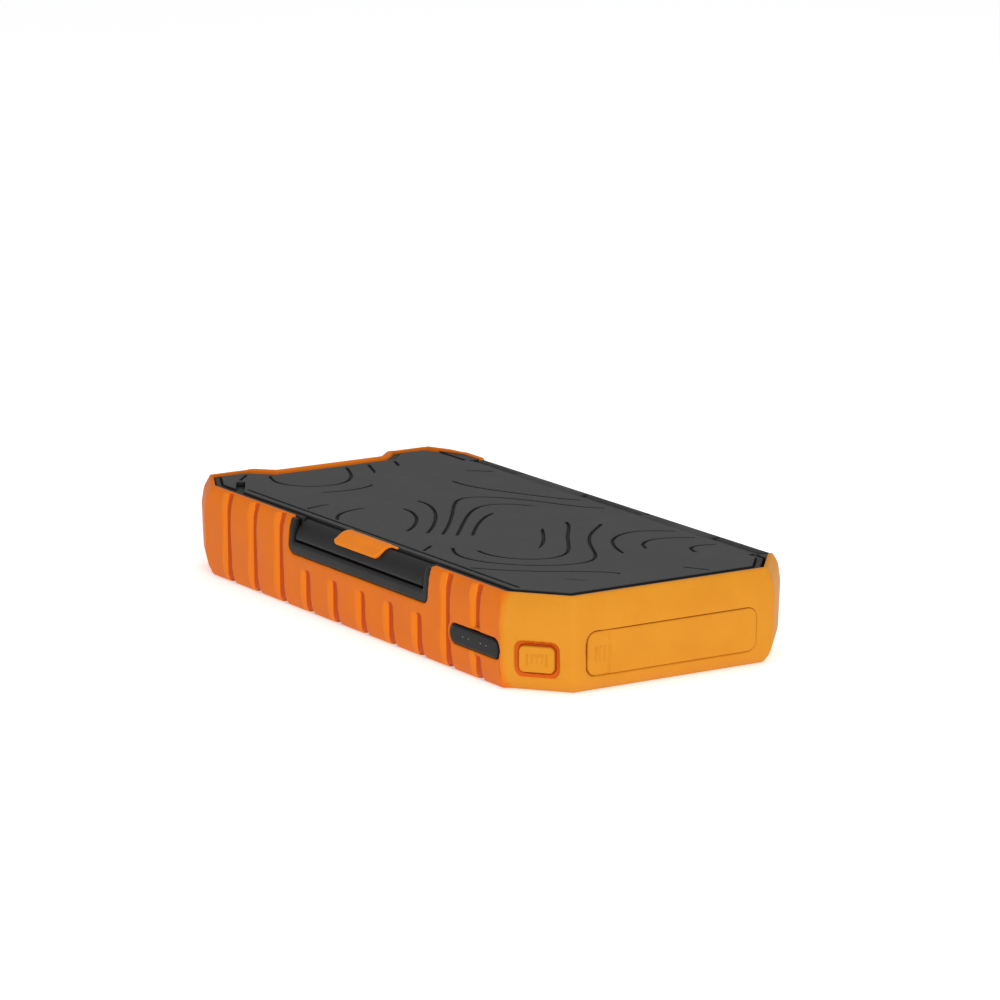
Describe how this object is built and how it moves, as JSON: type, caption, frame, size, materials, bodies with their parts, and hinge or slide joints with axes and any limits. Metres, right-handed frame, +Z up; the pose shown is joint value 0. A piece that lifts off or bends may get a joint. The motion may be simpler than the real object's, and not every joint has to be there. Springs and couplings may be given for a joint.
{
  "type": "jump starter pack",
  "caption": "Flat portable car-battery jump starter: rubber sleeve with grip grooves, hinged top lid over a shallow well, sockets under a swinging cover, power button and end work light.",
  "frame": {"origin": "middle of the footprint on the resting plane", "axes": "+X along the length towards the sockets, -Y towards the finger window and pull tab, +Z up through the lid"},
  "size_m": [0.202, 0.098, 0.029],
  "materials": {
    "sleeve_rubber": "soft-touch matt orange",
    "black_plastic": "fine matt texture",
    "pad_rubber": "matt dark grey with engraved lines",
    "black_rubber": "matt",
    "smoked_lens": "satin smoked",
    "clear_lens": "clear",
    "reflector": "bright metallised",
    "steel": "satin",
    "nickel": "plated",
    "brass": "gold plated",
    "blue_plastic": "satin",
    "white_plastic": "satin",
    "circuit_board": "solder mask",
    "cell_foil": "laminated foil",
    "foam": "foam",
    "red_insulation": "silicone",
    "black_insulation": "silicone",
    "chip_black": "moulded",
    "heat_sink": "anodised",
    "led_yellow": "phosphor"
  },
  "bodies": {
    "housing": {"bumper": "sleeve_rubber", "bottom_shell": "black_plastic", "top_frame": "black_plastic", "window_bezel": "black_plastic", "shell_seal": "black_rubber", "rubber_feet": "black_rubber", "case_screws": "steel", "lid_pin": "steel", "lid_gasket": "black_rubber", "catch_magnets": "nickel", "port_panel": "black_plastic", "jump_socket": "blue_plastic", "jump_contacts": "brass", "usb_a_shell": "steel", "usb_a_tongue": "white_plastic", "usb_c_shell": "steel", "usb_c_tongue": "chip_black", "tact_switch": "steel", "switch_board": "circuit_board", "indicator_lens": "smoked_lens", "light_guide": "white_plastic", "indicator_leds": "white_plastic", "indicator_board": "circuit_board", "light_lens": "clear_lens", "light_reflector": "reflector", "light_leds": "led_yellow", "light_board": "circuit_board", "cell_1": "cell_foil", "cell_2": "cell_foil", "cell_3": "cell_foil", "cell_4": "cell_foil", "cell_pads": "foam", "cell_tabs": "nickel", "busbars": "nickel", "lead_red": "red_insulation", "lead_black": "black_insulation", "main_board": "circuit_board", "board_screws": "steel", "mosfets": "chip_black", "heat_spreader": "heat_sink", "inductor": "chip_black", "capacitors": "chip_black"},
    "lid": {"lid_shell": "black_plastic", "lid_pad": "pad_rubber", "pull_tab": "sleeve_rubber", "lid_magnets": "nickel"},
    "port_cover": {"port_cover": "sleeve_rubber"},
    "power_button": {"button_cap": "sleeve_rubber"}
  },
  "joints": [
    {"name": "lid_hinge", "type": "hinge", "parent": "housing", "child": "lid", "pos_m": [0, 0.0455, 0.0256], "axis": [-1, 0, 0], "range_deg": [0, 110]},
    {"name": "port_cover_hinge", "type": "hinge", "parent": "housing", "child": "port_cover", "pos_m": [0.101, 0.0286, 0.0113], "axis": [0, 0, 1], "range_deg": [0, 95]},
    {"name": "power_button_press", "type": "slide", "parent": "housing", "child": "power_button", "axis": [-0.6411, 0.7675, 0], "range_m": [0, 0.0006], "stiffness_N_per_m": 500}
  ]
}
